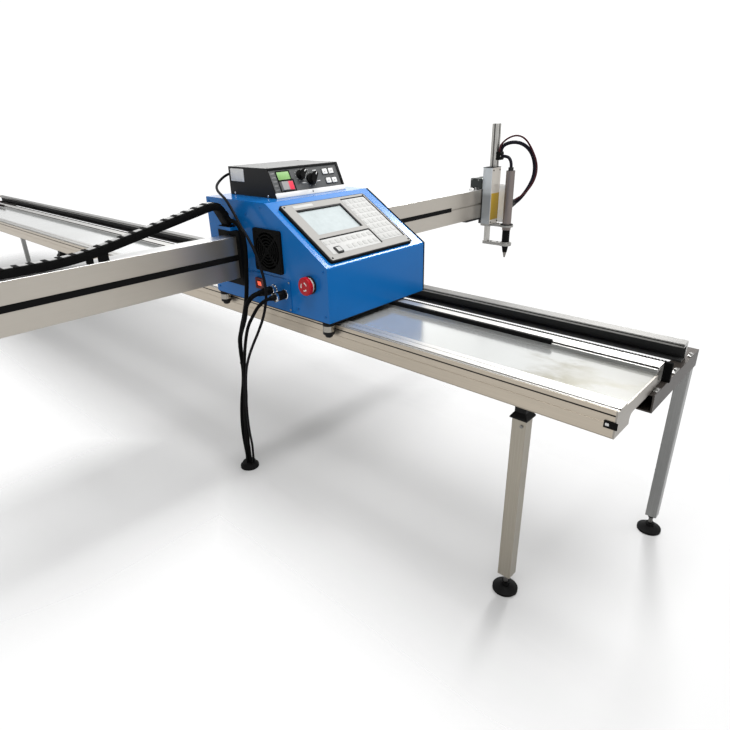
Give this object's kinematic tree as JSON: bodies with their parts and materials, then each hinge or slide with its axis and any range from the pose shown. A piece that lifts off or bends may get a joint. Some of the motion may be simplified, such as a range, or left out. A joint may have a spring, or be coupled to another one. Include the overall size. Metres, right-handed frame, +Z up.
{
  "type": "portable cnc cutting machine",
  "caption": "Portable gantry cutter: a floor-standing guide rail, a blue drive cabinet that rides along it, and a sliding cross beam with a motorised torch lifter.",
  "frame": {"origin": "on the floor, under the middle of the machine's box (cables and hoses left out)", "axes": "+X along the guide rail towards the end that the picture shows, +Y along the beam towards the torch, +Z up"},
  "size_m": [4.545, 2.2058, 0.956],
  "materials": {
    "aluminium": "extruded, brushed along its length",
    "plank_aluminium": "extruded, slightly smudged",
    "black_steel": "black oxide",
    "frame_steel": "dark paint",
    "stainless": "brushed",
    "bolt_steel": "plated",
    "rubber": "matt",
    "blue_paint": "gloss paint",
    "dark_blue_paint": "satin paint",
    "black_plastic": "moulded",
    "grey_plastic": "moulded",
    "red_plastic": "moulded",
    "screen": "matt screen",
    "panel_silver": "anodised",
    "grey_paint": "satin paint",
    "motor_black": "painted",
    "board": "circuit board and case",
    "yellow_paint": "satin paint",
    "torch_metal": "bronze tint",
    "nozzle": "heat proof",
    "hose_black": "smooth",
    "hose_red": "smooth",
    "cable_black": "smooth"
  },
  "bodies": {
    "stand": {"rail_plank": "plank_aluminium", "rail_end_caps": "plank_aluminium", "drive_rack": "black_steel", "rear_rail": "aluminium", "rail_trim": "black_plastic", "cross_members": "frame_steel", "legs": "stainless", "leg_brackets": "black_steel", "frame_bolts": "bolt_steel"},
    "foot_1": {"foot_front_right": "rubber"},
    "foot_2": {"foot_front_left": "rubber"},
    "foot_3": {"foot_rear_right": "rubber"},
    "foot_4": {"foot_rear_left": "rubber"},
    "carriage": {"carriage_base": "black_steel", "cabinet_shell": "blue_paint", "connector_plate": "dark_blue_paint", "cable_sockets": "black_plastic", "fan_grille": "black_plastic", "estop_collar": "grey_plastic", "panel_plate": "panel_silver", "panel_screen": "screen", "thc_case": "grey_paint", "thc_face": "grey_paint", "drag_chain": "black_plastic", "beam_guide": "black_steel", "drive_motors": "motor_black", "electronics": "board", "cable_a": "cable_black", "cable_b": "cable_black", "cable_c": "cable_black", "thc_wire": "cable_black", "cable_pad": "rubber"},
    "fan": {"fan_rotor": "black_plastic"},
    "power_switch": {"switch_rocker": "red_plastic"},
    "stop": {"estop_button": "red_plastic"},
    "key": {"panel_key": "grey_plastic"},
    "thc_switch": {"thc_rocker": "red_plastic"},
    "dial_1": {"thc_knob_1": "black_plastic"},
    "dial_2": {"thc_knob_2": "black_plastic"},
    "rail_pinion": {"x_pinion": "bolt_steel"},
    "beam_pinion": {"y_pinion": "bolt_steel"},
    "roller_1": {"side_roller_1": "black_plastic"},
    "roller_2": {"side_roller_2": "black_plastic"},
    "roller_3": {"track_roller_1": "black_plastic"},
    "roller_4": {"track_roller_2": "black_plastic"},
    "beam": {"beam_profile": "aluminium", "beam_rack": "black_steel", "beam_trim": "black_plastic", "lifter_housing": "grey_paint", "torch_guide": "black_steel", "lifter_motor": "motor_black"},
    "lift_gear": {"lifter_pinion": "bolt_steel"},
    "lifter": {"lifter_stem": "aluminium", "hose_clamp": "black_plastic", "torch_holder": "black_steel", "torch_barrel": "torch_metal", "torch_nozzle": "nozzle", "hose_black": "hose_black", "hose_red": "hose_red", "torch_lead": "hose_black"}
  },
  "joints": [
    {"name": "carriage_travel", "type": "slide", "parent": "stand", "child": "carriage", "axis": [1, 0, 0], "range_m": [-3.34, 0.62]},
    {"name": "beam_travel", "type": "slide", "parent": "carriage", "child": "beam", "axis": [0, 1, 0], "range_m": [-0.65, 0.3]},
    {"name": "lifter_travel", "type": "slide", "parent": "beam", "child": "lifter", "axis": [0, 0, 1], "range_m": [-0.025, 0.045]},
    {"name": "foot_1_turn", "type": "hinge", "parent": "stand", "child": "foot_1", "pos_m": [2.069, -0.12, 0.03], "axis": [0, 0, 1], "continuous": true},
    {"name": "foot_2_turn", "type": "hinge", "parent": "stand", "child": "foot_2", "pos_m": [-2.069, -0.12, 0.03], "axis": [0, 0, 1], "continuous": true},
    {"name": "foot_3_turn", "type": "hinge", "parent": "stand", "child": "foot_3", "pos_m": [2.2445, 0.3, 0.03], "axis": [0, 0, 1], "continuous": true},
    {"name": "foot_4_turn", "type": "hinge", "parent": "stand", "child": "foot_4", "pos_m": [-2.2445, 0.3, 0.03], "axis": [0, 0, 1], "continuous": true},
    {"name": "fan_spin", "type": "hinge", "parent": "carriage", "child": "fan", "pos_m": [1.382, -0.1644, 0.692], "axis": [0, -1, 0], "continuous": true},
    {"name": "power_switch_rock", "type": "hinge", "parent": "carriage", "child": "power_switch", "pos_m": [1.337, -0.1776, 0.602], "axis": [1, 0, 0], "range_deg": [-14, 0]},
    {"name": "stop_push", "type": "slide", "parent": "carriage", "child": "stop", "axis": [0, 1, 0], "range_m": [0, 0.004]},
    {"name": "key_press", "type": "slide", "parent": "carriage", "child": "key", "axis": [-0.5282, 0, -0.8491], "range_m": [0, 0.0012], "stiffness_N_per_m": 300},
    {"name": "thc_switch_rock", "type": "hinge", "parent": "carriage", "child": "thc_switch", "pos_m": [1.32923, -0.05925, 0.83223], "axis": [-0.4167, 0, 0.9091], "range_deg": [-14, 0]},
    {"name": "dial_1_turn", "type": "hinge", "parent": "carriage", "child": "dial_1", "pos_m": [1.32171, -0.00575, 0.85464], "axis": [0.9091, 0, 0.4167], "range_deg": [-150, 150]},
    {"name": "dial_2_turn", "type": "hinge", "parent": "carriage", "child": "dial_2", "pos_m": [1.32775, 0.02625, 0.84145], "axis": [0.9091, 0, 0.4167], "range_deg": [-150, 150]},
    {"name": "rail_pinion_spin", "type": "hinge", "parent": "carriage", "child": "rail_pinion", "pos_m": [1.45, 0.1265, 0.5175], "axis": [0, 0, 1], "continuous": true},
    {"name": "beam_pinion_spin", "type": "hinge", "parent": "carriage", "child": "beam_pinion", "pos_m": [1.179, 0, 0.6475], "axis": [0, 0, 1], "continuous": true},
    {"name": "roller_1_spin", "type": "hinge", "parent": "carriage", "child": "roller_1", "pos_m": [1.14, -0.1618, 0.52], "axis": [0, 0, 1], "continuous": true},
    {"name": "roller_2_spin", "type": "hinge", "parent": "carriage", "child": "roller_2", "pos_m": [1.5695, -0.1618, 0.52], "axis": [0, 0, 1], "continuous": true},
    {"name": "roller_3_spin", "type": "hinge", "parent": "carriage", "child": "roller_3", "pos_m": [1.25, 0.2, 0.517], "axis": [0, 1, 0], "continuous": true},
    {"name": "roller_4_spin", "type": "hinge", "parent": "carriage", "child": "roller_4", "pos_m": [1.48, 0.2, 0.517], "axis": [0, 1, 0], "continuous": true},
    {"name": "lift_gear_spin", "type": "hinge", "parent": "beam", "child": "lift_gear", "pos_m": [1.28, 1.018, 0.737], "axis": [1, 0, 0], "continuous": true}
  ],
  "couplings": [
    {"joint": "rail_pinion_spin", "follows": "carriage_travel", "rad_per_m": -50},
    {"joint": "roller_1_spin", "follows": "carriage_travel", "rad_per_m": 68.966},
    {"joint": "roller_2_spin", "follows": "carriage_travel", "rad_per_m": 68.966},
    {"joint": "roller_3_spin", "follows": "carriage_travel", "rad_per_m": 72.993},
    {"joint": "roller_4_spin", "follows": "carriage_travel", "rad_per_m": 72.993},
    {"joint": "beam_pinion_spin", "follows": "beam_travel", "rad_per_m": 46.512},
    {"joint": "lift_gear_spin", "follows": "lifter_travel", "rad_per_m": 69.444}
  ]
}
